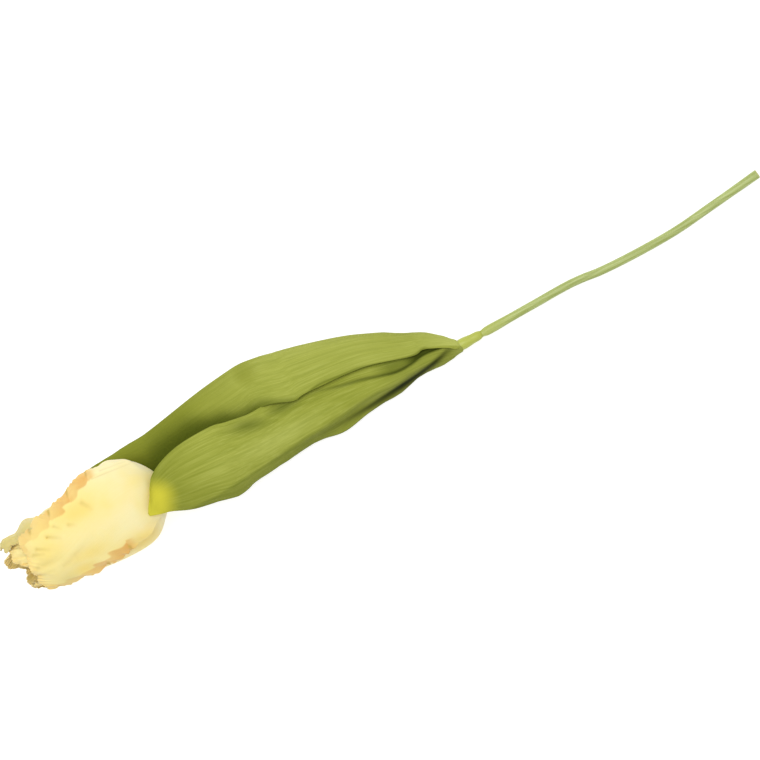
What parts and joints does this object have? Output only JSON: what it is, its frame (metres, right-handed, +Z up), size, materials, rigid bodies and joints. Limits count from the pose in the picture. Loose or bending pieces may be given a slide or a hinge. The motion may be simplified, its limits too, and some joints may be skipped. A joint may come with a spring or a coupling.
{
  "type": "fringed tulip",
  "caption": "Cut fringed tulip with a closed cream bloom, broad clasping leaves and a slender stem, lying on its side as a table decoration.",
  "frame": {"origin": "The middle of the box round the whole flower, in plan, on the table that the flower lies on.", "axes": "+X runs along the stem from the bloom to the cut end, +Y across the flower towards the rear leaf, +Z up from the table."},
  "size_m": [0.5012, 0.0748, 0.0537],
  "materials": {
    "stem": "satin",
    "leaf": "satin",
    "petal": "matte",
    "pistil": "satin",
    "stamen": "matte"
  },
  "bodies": {
    "root": {"stem": "stem", "leaf_rear": "leaf", "leaf_front": "leaf", "petal_outer_1": "petal", "petal_outer_2": "petal", "petal_outer_3": "petal", "petal_inner_1": "petal", "petal_inner_2": "petal", "petal_inner_3": "petal", "pistil": "pistil", "stamens": "stamen"}
  },
  "joints": []
}
